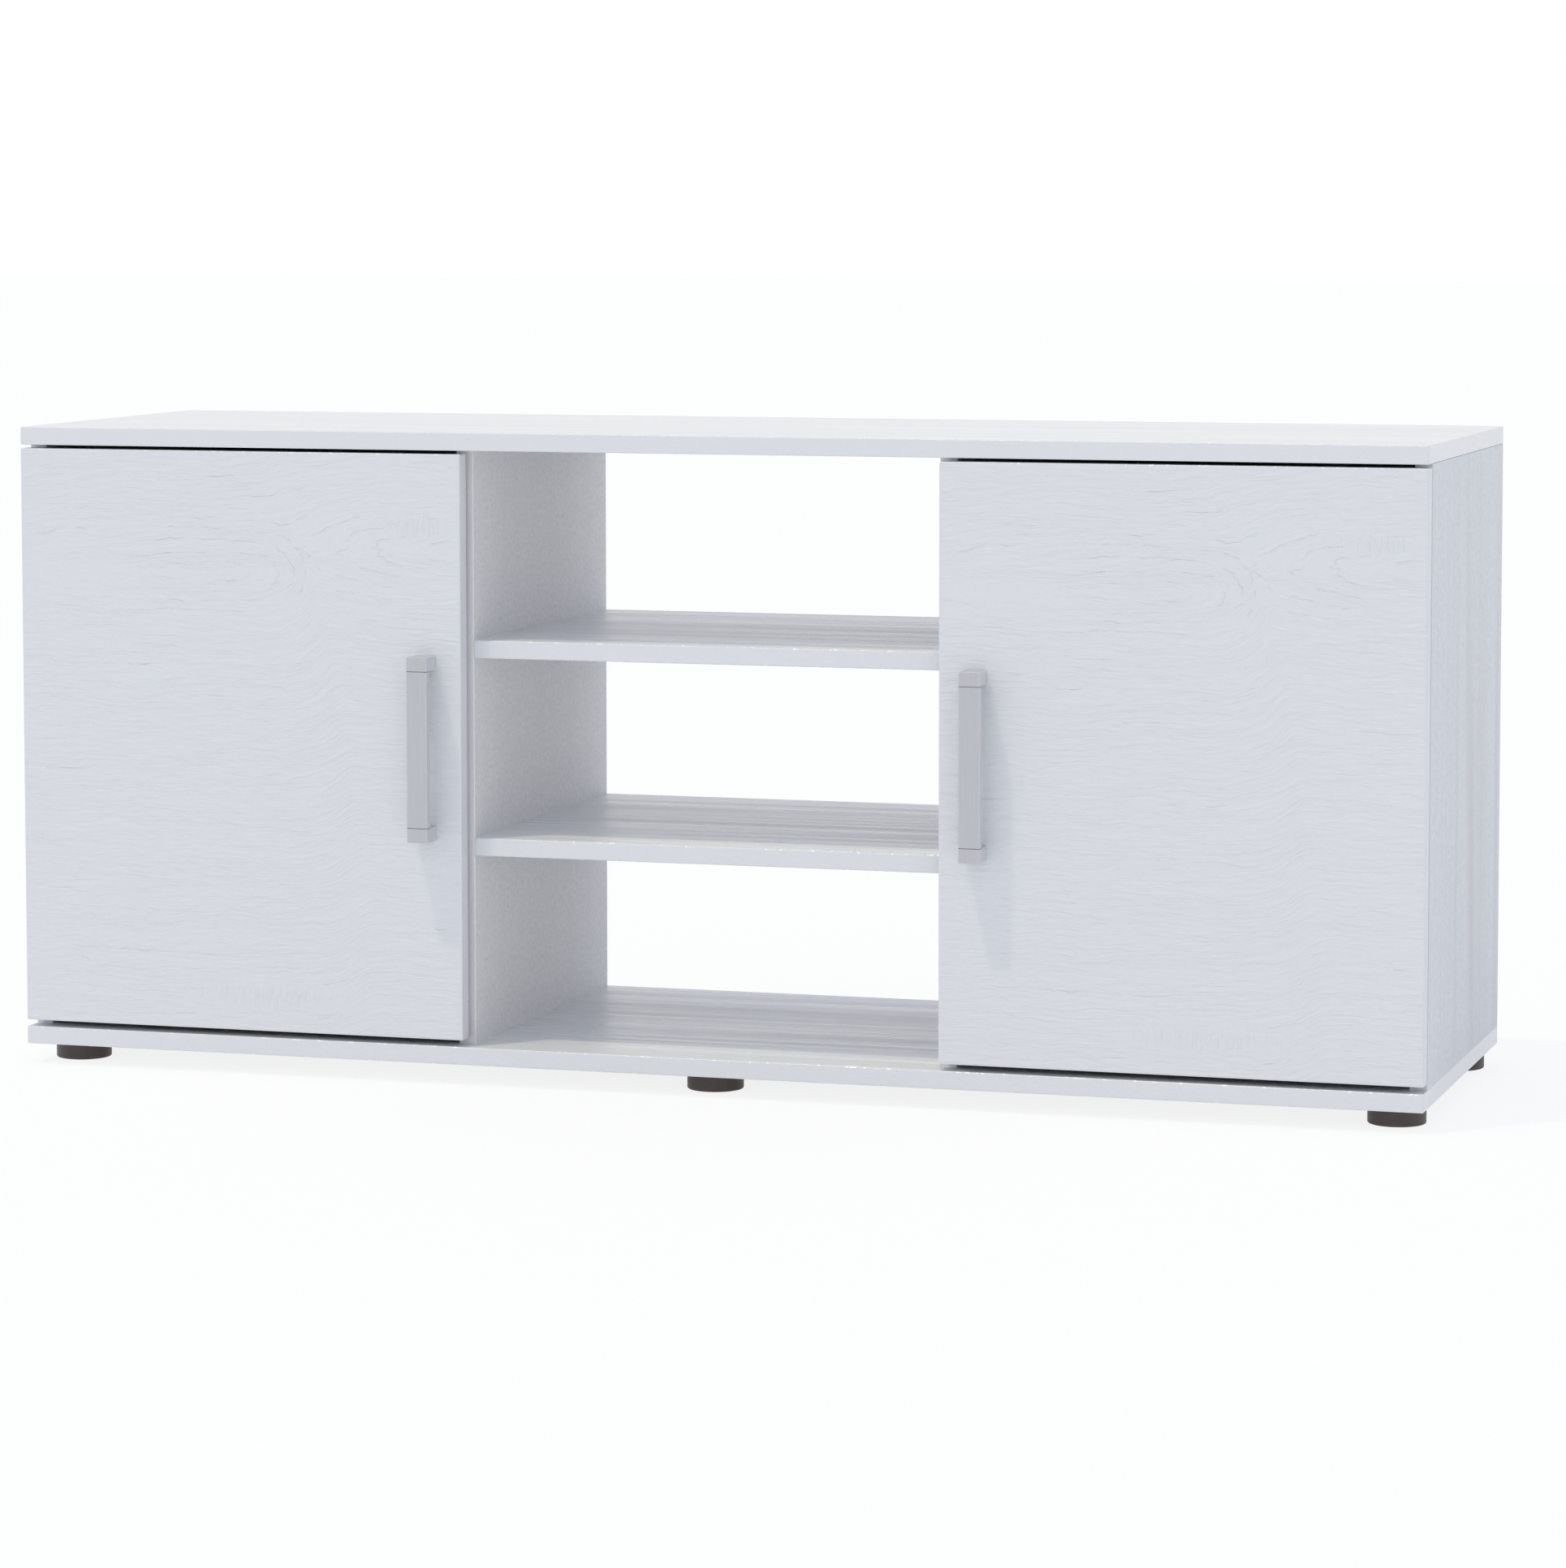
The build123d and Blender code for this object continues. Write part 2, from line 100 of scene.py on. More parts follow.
class DoorSettings(PropertyGroup):
    """Pressed wood grain of the doors."""
    white: colour_property("White", "Colour of the melamine on the doors", (0.80, 0.81, 0.83))
    ring_tint: colour_property("Ring tint", "Colour of the growth-ring lines", (0.62, 0.64, 0.68))
    grain_length: length_property("Grain length", "Length of a pressed grain line", 0.032)
    grain_breadth: length_property("Grain breadth", "Spacing of the pressed grain lines", 0.0021)
    grain_relief: length_property("Grain relief", "Depth of the pressed grain lines", 0.00080)
    ring_spacing: length_property("Ring spacing", "Spacing of the growth-ring lines in the figure", 0.009)
    ring_relief: length_property("Ring relief", "Depth of the growth-ring lines", 0.00028)
    roughness: share_property("Roughness", "Roughness of the satin surface", 0.42)


class FittingSettings(PropertyGroup):
    """Handles, feet, hinges and fasteners."""
    satin: colour_property("Satin grey", "Colour of the handles", (0.570, 0.577, 0.60))
    foot: colour_property("Foot brown", "Colour of the plastic feet", (0.0825, 0.0647, 0.0557))
    nickel: colour_property("Nickel", "Colour of the plated hinges", (0.62, 0.61, 0.58))
    zinc: colour_property("Zinc", "Colour of the plated screws, cams and pins", (0.60, 0.61, 0.62))
    beech: colour_property("Beech", "Colour of the dowels", (0.60, 0.42, 0.24))
    hardboard: colour_property("Hardboard", "Colour of the painted backs", (0.78, 0.79, 0.80))
    bumper: colour_property("Bumper", "Colour of the clear soft pads", (0.86, 0.88, 0.88))


class StageSettings(PropertyGroup):
    """Floor, light and camera."""
    floor: colour_property("Floor", "Colour of the pale floor", (0.955, 0.97, 1.0))
    floor_white: share_property(
        "Floor white", "Share of plain white that lightens the shadow seen on the floor", 0.85)
    sky: colour_property("Sky", "Colour of the soft light from all round", (0.862, 0.906, 1.0))
    sky_level: level_property("Sky level", "Strength of the soft light", 0.798)
    sky_lean: share_property(
        "Sky lean", "How much dimmer the soft light is from the right than from the middle", 0.12)
    sun: colour_property("Sun", "Colour of the key light", (1.0, 0.90, 0.66))
    sun_level: level_property("Sun level", "Strength of the key light", 0.84)
    sun_size: FloatProperty(
        name="Sun size", description="Breadth of the key light", subtype="ANGLE", default=math.radians(2.0))
    sun_path: FloatVectorProperty(
        name="Sun path", description="Way that the key light travels", subtype="DIRECTION",
        default=(0.228, 0.232, -0.946))
    camera_place: FloatVectorProperty(
        name="Camera", description="Place of the camera", subtype="TRANSLATION",
        default=(1.3090, -4.2311, 0.7385))
    camera_turn: FloatVectorProperty(
        name="Camera turn", description="Turn of the camera", subtype="EULER",
        default=(math.radians(85.495), math.radians(0.042), math.radians(16.975)))
    camera_lens: FloatProperty(name="Lens", description="Focal length in millimetres", default=120.70)
    camera_shift: FloatVectorProperty(
        name="Shift", description="Shift of the picture across and up", size=2, default=(0.0038, -0.1119))


class StandSettings(PropertyGroup):
    """Everything that a user would change."""
    boards: PointerProperty(type=BoardSettings)
    doors: PointerProperty(type=DoorSettings)
    fittings: PointerProperty(type=FittingSettings)
    stage: PointerProperty(type=StageSettings)


# Node helpers

def set_input(tree, socket, value):
    """Gives a socket a plain value, or links it to the socket that feeds it."""
    if isinstance(value, bpy.types.NodeSocket):
        tree.links.new(value, socket)
    else:
        socket.default_value = value


def add_node(tree, kind, inputs=None, **settings):
    """A new node; inputs maps a socket's name or number to a value or to the socket that feeds it."""
    node = tree.nodes.new(kind)
    for name, value in settings.items():
        setattr(node, name, value)
    for key, value in (inputs or {}).items():
        set_input(tree, node.inputs[key], value)
    return node


def calc(tree, operation, *values):
    """One step of arithmetic on values or sockets."""
    return add_node(tree, "ShaderNodeMath", dict(enumerate(values)), operation=operation).outputs[0]


def product(tree, first, *others):
    """The product of several values or sockets."""
    result = first
    for value in others:
        result = calc(tree, "MULTIPLY", result, value)
    return result


def vector_calc(tree, operation, *values):
    """One step of arithmetic on vectors."""
    node = add_node(tree, "ShaderNodeVectorMath", dict(enumerate(values)), operation=operation)
    return node.outputs["Value" if operation == "DOT_PRODUCT" else "Vector"]


def parts_of(tree, vector):
    """The X, Y and Z of a vector."""
    return add_node(tree, "ShaderNodeSeparateXYZ", {0: vector}).outputs


def vector_of(tree, **parts):
    """A vector from its X, Y and Z, of which those left out are 0."""
    return add_node(tree, "ShaderNodeCombineXYZ", parts).outputs[0]


def ramp(tree, value, low, high, start=0.0, end=1.0):
    """A smooth step of value from low to high, which gives start to end."""
    node = add_node(tree, "ShaderNodeMapRange", {0: value, 1: low, 2: high, 3: start, 4: end})
    node.interpolation_type = "SMOOTHSTEP"
    return node.outputs[0]


def fade(tree, value, low, high):
    """1 where value is under low, falling smoothly to 0 where it is over high."""
    return ramp(tree, value, low, high, start=1.0, end=0.0)


def noise(tree, vector, detail, roughness=0.5):
    """Soft noise of one unit's size, from about 0.25 to 0.75."""
    inputs = {"Vector": vector, "Scale": 1.0, "Detail": detail, "Roughness": roughness}
    return add_node(tree, "ShaderNodeTexNoise", inputs).outputs[0]


def scaled_noise(tree, vector, waves, detail, roughness=0.5):
    """Soft noise with so many waves per metre along X, Y and Z."""
    return noise(tree, vector_calc(tree, "MULTIPLY", vector, waves), detail, roughness)


def mix_colours(tree, share, first, second):
    """A mix of two colours, where a share of 1 is all the second."""
    return add_node(tree, "ShaderNodeMix", {0: share, 6: first, 7: second}, data_type="RGBA").outputs[2]


def mix_values(tree, share, first, second):
    """A mix of two values, where a share of 1 is all the second."""
    return add_node(tree, "ShaderNodeMix", {0: share, 2: first, 3: second}).outputs[0]


# Turns of the coordinates that lay streaks along X or along Z
ALONG_X = (0, 0, 0)
ALONG_Z = (0, math.radians(90), 0)


def place(tree, turn=ALONG_X, origin=(0, 0, 0)):
    """Object coordinates moved so that origin is their zero, and then turned."""
    coordinates = add_node(tree, "ShaderNodeTexCoord").outputs["Object"]
    moved = vector_calc(tree, "SUBTRACT", coordinates, origin)
    return add_node(tree, "ShaderNodeMapping", {"Vector": moved, "Rotation": turn}).outputs[0]


def new_group(name, inputs, outputs):
    """An empty shader group; inputs give each socket's default, and every output is a value."""
    tree = bpy.data.node_groups.new(name, "ShaderNodeTree")
    for socket, default in inputs.items():
        kind = "NodeSocketFloat" if isinstance(default, float) else "NodeSocketVector"
        tree.interface.new_socket(socket, in_out="INPUT", socket_type=kind).default_value = default
    for socket in outputs:
        tree.interface.new_socket(socket, in_out="OUTPUT", socket_type="NodeSocketFloat")
    return tree, add_node(tree, "NodeGroupInput").outputs


def use_group(tree, name, **inputs):
    """The first output of a shared group, placed with its own values."""
    return add_node(tree, "ShaderNodeGroup", inputs, node_tree=bpy.data.node_groups[name]).outputs[0]


# Shared surface effects

SWAY_RISE = 6.0  # how much faster the sway of streaks changes along Z than along X and Y
SOFT_END = (0.85, 1.15)  # where a mask that ends at 1 starts and stops fading
RUBBED_NOISE = (0.55, 0.62)  # noise at which rubbed spots begin and are full
MOST_NOISE = (0.3, 0.7)  # most of the range of noise


def make_streaks_group():
    """Long wandering streaks: noise stretched Length along X and Breadth across.

    Slower noise sways them sideways, by up to half of Sway either way.
    """
    sockets = {"Vector": (0, 0, 0), "Length": 0.4, "Breadth": 0.01, "Sway": 0.01}
    tree, given = new_group("Streaks", sockets, ["Streak"])
    along = calc(tree, "DIVIDE", 1.0, given["Length"])
    across = calc(tree, "DIVIDE", 1.0, given["Breadth"])
    slow = vector_of(tree, X=along, Y=along, Z=calc(tree, "MULTIPLY", along, SWAY_RISE))
    drift = scaled_noise(tree, given["Vector"], slow, detail=1.0)
    sway = calc(tree, "MULTIPLY", calc(tree, "SUBTRACT", drift, 0.5), given["Sway"])
    moved = vector_calc(tree, "ADD", given["Vector"], vector_of(tree, Y=sway, Z=sway))
    stretch = vector_of(tree, X=along, Y=across, Z=across)
    streak = scaled_noise(tree, moved, stretch, detail=3.0, roughness=0.6)
    add_node(tree, "NodeGroupOutput", {"Streak": streak})


def make_pores_group():
    """Fine pressed pores: noise of the given Size with a little finer noise on it."""
    tree, given = new_group("Pores", {"Vector": (0, 0, 0), "Size": 0.001}, ["Pore"])
    scaled = vector_calc(tree, "SCALE", given["Vector"])
    tree.links.new(calc(tree, "DIVIDE", 1.0, given["Size"]), scaled.node.inputs["Scale"])
    add_node(tree, "NodeGroupOutput", {"Pore": noise(tree, scaled, detail=2.0, roughness=0.7)})


def make_hill_group():
    """A smooth hill: e to the power of minus the squared distance from Centre, in units of Spread."""
    sockets = {"Vector": (0, 0, 0), "Centre": (0, 0, 0), "Spread": (1, 1, 1)}
    tree, given = new_group("Hill", sockets, ["Hill"])
    offset = vector_calc(tree, "SUBTRACT", given["Vector"], given["Centre"])
    away = vector_calc(tree, "DIVIDE", offset, given["Spread"])
    squared = vector_calc(tree, "DOT_PRODUCT", away, away)
    hill = calc(tree, "EXPONENT", calc(tree, "MULTIPLY", squared, -1.0))
    add_node(tree, "NodeGroupOutput", {"Hill": hill})


def side_distances(tree, given):
    """How far Vector lies, along X, Y and Z, from the nearer side of the box from Low to High."""
    from_low = vector_calc(tree, "SUBTRACT", given["Vector"], given["Low"])
    from_high = vector_calc(tree, "SUBTRACT", given["High"], given["Vector"])
    return parts_of(tree, vector_calc(tree, "MINIMUM", from_low, from_high))


def make_edging_group():
    """1 within Strip of a board's sides and 0 inside, by the least distance to the box from Low to High."""
    sockets = {"Vector": (0, 0, 0), "Low": (0, 0, 0), "High": (0, 0, 0), "Strip": 0.001}
    tree, given = new_group("Edging", sockets, ["Edge"])
    a, b, c = side_distances(tree, given)
    least = calc(tree, "MINIMUM", calc(tree, "MINIMUM", a, b), c)
    share = calc(tree, "DIVIDE", least, given["Strip"])
    add_node(tree, "NodeGroupOutput", {"Edge": fade(tree, share, *SOFT_END)})


def make_rubbing_group():
    """Rubbed spots on a board's rounded arrises along X, from the distances b and c to its Y and Z sides.

    Rubbed is 1 where b and c are both under Radius, in spots of about Size. Facet is a height in metres
    that turns the rounding into a flat facet there: min(b + c, Radius) - Radius, which is 0 outside it.
    """
    sockets = {"Vector": (0, 0, 0), "Low": (0, 0, 0), "High": (0, 0, 0), "Radius": 0.001, "Size": 0.01}
    tree, given = new_group("Rubbing", sockets, ["Rubbed", "Facet"])
    _, b, c = side_distances(tree, given)
    further = calc(tree, "DIVIDE", calc(tree, "MAXIMUM", b, c), given["Radius"])
    speckle = use_group(tree, "Pores", Vector=given["Vector"], Size=given["Size"])
    spots = ramp(tree, speckle, *RUBBED_NOISE)
    rubbed = calc(tree, "MULTIPLY", fade(tree, further, *SOFT_END), spots)
    within = calc(tree, "MINIMUM", calc(tree, "ADD", b, c), given["Radius"])
    facet = calc(tree, "MULTIPLY", calc(tree, "SUBTRACT", within, given["Radius"]), spots)
    add_node(tree, "NodeGroupOutput", {"Rubbed": rubbed, "Facet": facet})


def make_shared_groups():
    """Builds each shared effect once."""
    make_streaks_group()
    make_pores_group()
    make_hill_group()
    make_edging_group()
    make_rubbing_group()


# Material helpers

def new_material(name):
    """An empty material with a principled shader; returns it with its tree and the shader."""
    material = bpy.data.materials.new(name)
    material.use_nodes = True
    tree = material.node_tree
    tree.nodes.clear()
    shader = add_node(tree, "ShaderNodeBsdfPrincipled")
    add_node(tree, "ShaderNodeOutputMaterial", {"Surface": shader.outputs[0]})
    return material, tree, shader


def feed(tree, shader, **sockets):
    """Sets or links sockets of the shader by name."""
    for name, value in sockets.items():
        set_input(tree, shader.inputs[name.replace("_", " ")], value)


def bump(tree, height, depth, **under):
    """A normal from a height times depth in metres, on top of another Normal if one is given."""
    return add_node(tree, "ShaderNodeBump", {"Height": height, "Distance": depth, **under}).outputs[0]


def rgba(colour, shade=1.0):
    """A colour property as the four numbers of a socket, made darker or paler by a shade."""
    return (*(shade * part for part in colour), 1.0)


def edged_box(node, sides):
    """The box of a board, opened out to FAR on the axes that have no edging."""
    low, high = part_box(node)
    lows = [low[axis] if "XYZ"[axis] in sides else -FAR for axis in range(3)]
    highs = [high[axis] if "XYZ"[axis] in sides else FAR for axis in range(3)]
    return lows, highs


# Edges that the boards and doors share

RUBBED_SPOT = 0.005  # size of a rubbed spot on an arris
FACET_SHARE = 0.85  # how much of the flattening height a rubbed arris gets
EDGE_WAVE = 0.004  # size of a wave in the edging strip


def uneven_edge(tree, plain, edge, normal, relief):
    """A normal that adds slight waves to the edging strip, so that its gloss breaks up."""
    waves = use_group(tree, "Pores", Vector=plain, Size=EDGE_WAVE)
    return bump(tree, calc(tree, "MULTIPLY", waves, edge), relief, Normal=normal)


def rub_arrises(tree, plain, node, settings, colour, rough, normal):
    """Smoother and flatter spots on a board's arrises along X, made whiter by a painted highlight that stands
    in for glints.

    Returns the new colour, roughness and normal.
    """
    low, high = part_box(node)
    shape = {"Low": low, "High": high, "Radius": settings.arris}
    rubbed = use_group(tree, "Rubbing", Vector=plain, Size=RUBBED_SPOT, **shape)
    # painted highlight: the rubbed spots are whitened in place of glints of the key light
    glint_whitened = mix_colours(tree, rubbed, colour, rgba(settings.glint_white))
    smoother = ramp(tree, rubbed, 0.0, 1.0, rough, settings.rubbed_roughness)
    flatter = bump(tree, rubbed.node.outputs["Facet"], FACET_SHARE, Normal=normal)
    return glint_whitened, smoother, flatter


# Melamine of the boards

# How much a board shows of the fine print, of the broad print and of the streaks in its gloss,
# and whether its arrises get rubbed spots with their painted highlight glints
FIGURES = {
    "end_panel": {"fine": 0.35, "broad": 1.25, "gloss": 0.25, "rubbed": False},
    "divider": {"fine": 0.05, "broad": 0.08, "gloss": 0.08, "rubbed": False},
    "top_panel": {"fine": 0.15, "broad": 0.15, "gloss": 0.6, "rubbed": False},
}
FLAT_FIGURE = {"fine": 0.25, "broad": 0.25, "gloss": 1.0, "rubbed": True}

# Broad bands of the end panels: place in Y, half breadth, strength and lean to the front with height
END_BANDS = [
    (0.043, 0.019, 1.0, 0.10),
    (0.088, 0.036, 0.5, 0.0),
    (-0.028, 0.006, 0.45, 0.0),
    (0.170, 0.009, 0.8, 0.0),
]
END_BAND_LEVEL = 0.22  # height at which the bands are strongest
END_BAND_REACH = 0.24  # how far up and down they fade
END_BAND_LEAST = 0.45  # what is left of a band where the streaks break it up

# Noise at which each effect begins and is full
BAND_NOISE = (0.25, 0.55)
FINE_NOISE = (0.46, 0.70)
BROAD_NOISE = (0.48, 0.64)
PEBBLE_NOISE = (0.38, 0.66)
GLOSS_NOISE = (0.38, 0.62)

FINER = 5  # how much narrower the fine streaks are than the broad bands
PEBBLE_SHADE = 0.90  # how dark the pebbles are beside the white
FLAT_PEBBLES = 0.3  # share of the pebbles that shows on the boards that lie flat
FINE_GLOSS, BROAD_GLOSS = 0.6, 0.4  # shares of the fine and the broad streaks in the gloss
GLOSS_SPREAD = 0.15  # how much rougher the streaks are; between them the board is smoother by half of it


def end_bands(tree, plain, broken):
    """Broad printed bands of the end panels: the strongest of a few upright hills, broken by streaks."""
    above = calc(tree, "SUBTRACT", parts_of(tree, plain)[2], END_BAND_LEVEL)
    strongest = 0.0
    for y, breadth, strength, lean in END_BANDS:
        leaned = vector_calc(tree, "ADD", plain, vector_of(tree, Y=calc(tree, "MULTIPLY", above, lean)))
        spread = (FAR, breadth, END_BAND_REACH)
        band = use_group(tree, "Hill", Vector=leaned, Centre=(0, y, END_BAND_LEVEL), Spread=spread)
        strongest = calc(tree, "MAXIMUM", strongest, calc(tree, "MULTIPLY", band, strength))
    return calc(tree, "MULTIPLY", strongest, ramp(tree, broken, *BAND_NOISE, start=END_BAND_LEAST))


def pebbled_white(tree, plain, face, white, upright, settings):
    """White with slightly darker pebbles, which show most on the uprights."""
    pebble = use_group(tree, "Pores", Vector=plain, Size=settings.pebble_size)
    pebbled = product(tree, ramp(tree, pebble, *PEBBLE_NOISE), 1.0 if upright else FLAT_PEBBLES, face)
    return mix_colours(tree, pebbled, rgba(white), rgba(white, PEBBLE_SHADE))


def streaked_gloss(tree, broad, fine, satin, share):
    """Roughness about satin that follows the streaks, by the share that a board shows of them."""
    fine_part = calc(tree, "MULTIPLY", fine, FINE_GLOSS)
    both = calc(tree, "ADD", fine_part, calc(tree, "MULTIPLY", broad, BROAD_GLOSS))
    spread = GLOSS_SPREAD * share
    return ramp(tree, both, *GLOSS_NOISE, satin - spread / 2, satin + spread)


def melamine(node, upright, settings):
    """White melamine: broad warm bands and fine cool streaks along the grain, pores and smoother edging.

    A board's figure gives how much of the streaks shows in its print and in its gloss.
    """
    material, tree, shader = new_material(f"melamine_{node}")
    figure = next((shares for ending, shares in FIGURES.items() if node.endswith(ending)), FLAT_FIGURE)
    # the dividers get their paler, warmer white of painted bounce light
    white = settings.divider_bounce_white if node.endswith("divider") else settings.white
    satin = settings.upright_roughness if upright else settings.roughness
    plain = place(tree)
    wood = place(tree, ALONG_Z if upright else ALONG_X)
    low, high = edged_box(node, "Y" if upright or node.endswith("shelf") else "XY")
    edge = use_group(tree, "Edging", Vector=plain, Low=low, High=high, Strip=settings.edging)
    face = calc(tree, "SUBTRACT", 1.0, edge)

    length, breadth = settings.streak_length, settings.streak_breadth
    broad = use_group(tree, "Streaks", Vector=wood, Length=length, Breadth=breadth, Sway=breadth)
    fine = use_group(tree, "Streaks", Vector=wood, Length=length, Breadth=breadth / FINER, Sway=breadth / 2)
    shown = calc(tree, "MULTIPLY", face, settings.print_strength)
    is_end = node.endswith("end_panel")
    bands = end_bands(tree, plain, fine) if is_end else ramp(tree, broad, *BROAD_NOISE)
    cool = product(tree, ramp(tree, fine, *FINE_NOISE), shown, figure["fine"])
    warm = product(tree, bands, shown, figure["broad"])
    ground = pebbled_white(tree, plain, face, white, upright, settings)
    streaked = mix_colours(tree, cool, ground, rgba(settings.cool_print))
    colour = mix_colours(tree, warm, streaked, rgba(settings.warm_print))

    gloss = streaked_gloss(tree, broad, fine, satin, figure["gloss"])
    rough = ramp(tree, edge, 0.0, 1.0, gloss, settings.edging_roughness)
    pore = use_group(tree, "Pores", Vector=plain, Size=settings.pore_size)
    normal = uneven_edge(tree, plain, edge, bump(tree, pore, settings.relief), settings.edging_relief)
    if figure["rubbed"]:
        colour, rough, normal = rub_arrises(tree, plain, node, settings, colour, rough, normal)
    feed(tree, shader, Base_Color=colour, Roughness=rough, Normal=normal)
    return material


# Pressed grain of the doors. Places on a door are along the grain from its left side, and down from its top
# or up from its foot, in metres

LEFT_NOSE = {"centre": (0.148, 0.101), "reach": 0.072, "rise": 0.010, "powers": (2.0, 6.0)}
RIGHT_NOSE = {"centre": (0.400, 0.080), "reach": 0.065, "rise": 0.012, "powers": (2.8, 2.8)}
NOSE_MELT = 0.008  # how softly the two noses join
WANDER = 0.016  # how far the rings wander
CORE = (0.080, 0.100)  # how far down the upper side of the figure turns into its lower side
CORE_STEP = 0.012  # how far apart the two sides lie in the noise, so that they don't mirror each other
JAG = 0.005  # how far a ring line jags
LINE_BREADTH = 0.065  # half breadth of a ring line, in spacings

# Waves per metre along X, Y and Z
WANDER_WAVES = (14.0, 14.0, 32.0)
JAG_WAVES = (90.0, 90.0, 240.0)
PATCH_WAVES = (12.0, 12.0, 40.0)
BREAK_WAVES = (60.0, 60.0, 130.0)

# Noise at which the ring lines begin to show and show in full
BREAK_NOISE = (0.40, 0.56)
PATCH_NOISE = (0.52, 0.66)

FIGURE_ALONG, FIGURE_DOWN, FIGURE_SPREAD = 0.270, 0.082, (0.190, 0.042)
FIGURE_GAIN = 0.22  # how much the figure adds to the noise that shows the ring lines
TOP_ALONG, TOP_DOWN, TOP_SPREAD = 0.358, 0.060, (0.036, 0.011)
FOOT_ALONG, FOOT_UP, FOOT_SPREAD = 0.218, 0.030, (0.075, 0.010)
FLECK_BREADTH = 1.6  # breadth of the upright flecks beside that of the grain
FLECK_GAIN = 2.2  # depth of the upright flecks beside that of the grain
WAVE_SCALE = 4  # size of the slow waves beside that of the grain
WAVE_GAIN = 0.8  # depth of the slow waves beside that of the grain
RING_TINT_SHARE = 0.13  # how much of the tint a ring line shows
GRAIN_GLOSS = 0.05  # how much rougher or smoother the grain is


def patch(tree, wood, along, up, spread):
    """A soft patch on a door, with its spread along the grain and up."""
    return use_group(tree, "Hill", Vector=wood, Centre=(along, 0, up), Spread=(spread[0], FAR, spread[1]))


def nose_distance(tree, along, across, centre, reach, rise, powers):
    """Distance from the core of a pointed figure, in metres.

    It is rise * sqrt((l/reach)^p + (r/reach)^q + (v/rise)^2), where l and r are how far a point lies to the
    left or right of the centre, v how far across the grain, and the powers p and q make each end of the
    figure long or blunt.
    """
    offset = calc(tree, "SUBTRACT", along, centre[0])
    ahead = calc(tree, "DIVIDE", calc(tree, "MAXIMUM", offset, 0.0), reach)
    behind = calc(tree, "DIVIDE", calc(tree, "MAXIMUM", calc(tree, "MULTIPLY", offset, -1.0), 0.0), reach)
    left = calc(tree, "POWER", behind, powers[0])
    right = calc(tree, "POWER", ahead, powers[1])
    over = calc(tree, "DIVIDE", calc(tree, "SUBTRACT", across, centre[1]), rise)
    total = calc(tree, "ADD", calc(tree, "ADD", left, right), calc(tree, "MULTIPLY", over, over))
    return calc(tree, "MULTIPLY", calc(tree, "SQRT", total), rise)


def figure_field(tree, wood, height):
    """Growth-ring field of a door, in metres: the lesser distance from two noses that meet below its top.

    One nose lies left of the middle with its blunt end to the right, the other comes in from the right side.
    Far from both, the field is the height across the grain. Slow noise makes its lines wander.
    Returns the field, and coordinates that bend the grain along it.
    """
    along, _, up = parts_of(tree, wood)
    across = calc(tree, "SUBTRACT", height, up)
    left = nose_distance(tree, along, across, **LEFT_NOSE)
    right = nose_distance(tree, along, across, **RIGHT_NOSE)
    wander = scaled_noise(tree, wood, WANDER_WAVES, detail=3.0, roughness=0.6)
    nearer = calc(tree, "SMOOTH_MIN", left, right, NOSE_MELT)
    field = calc(tree, "ADD", nearer, calc(tree, "MULTIPLY", wander, WANDER))
    side = ramp(tree, across, *CORE, end=CORE_STEP)
    return field, vector_of(tree, X=along, Y=side, Z=field)


def ring_lines(tree, wood, field, height, spacing):
    """Thin jagged growth-ring lines where the field is a whole number of spacings, most in the figure."""
    jag = scaled_noise(tree, wood, JAG_WAVES, detail=2.0)
    jagged = calc(tree, "MULTIPLY_ADD", jag, JAG, field)
    turns = calc(tree, "PINGPONG", calc(tree, "DIVIDE", jagged, spacing), 0.5)
    patches = scaled_noise(tree, wood, PATCH_WAVES, detail=3.0, roughness=0.7)
    breaks = ramp(tree, scaled_noise(tree, wood, BREAK_WAVES, detail=1.0), *BREAK_NOISE)
    figure = patch(tree, wood, FIGURE_ALONG, height - FIGURE_DOWN, FIGURE_SPREAD)
    likely = calc(tree, "ADD", patches, calc(tree, "MULTIPLY", figure, FIGURE_GAIN))
    return product(tree, fade(tree, turns, 0.0, LINE_BREADTH), breaks, ramp(tree, likely, *PATCH_NOISE))


def grain_lines(tree, bent, upright, flecked, settings):
    """Pressed grain along the bent coordinates, which gives way to upright flecks where flecked is 1.

    Returns the height of grain, waves and flecks together, and the grain alone.
    """
    length, breadth = settings.grain_length, settings.grain_breadth
    slow, broad = length * WAVE_SCALE, breadth * WAVE_SCALE
    short, wide = length / 2, breadth * FLECK_BREADTH
    grain = use_group(tree, "Streaks", Vector=bent, Length=length, Breadth=breadth, Sway=breadth * 2)
    waves = use_group(tree, "Streaks", Vector=bent, Length=slow, Breadth=broad, Sway=broad)
    flecks = use_group(tree, "Streaks", Vector=upright, Length=short, Breadth=wide, Sway=breadth * 2)
    straight = calc(tree, "MULTIPLY_ADD", waves, WAVE_GAIN, grain)
    return mix_values(tree, flecked, straight, calc(tree, "MULTIPLY", flecks, FLECK_GAIN)), grain


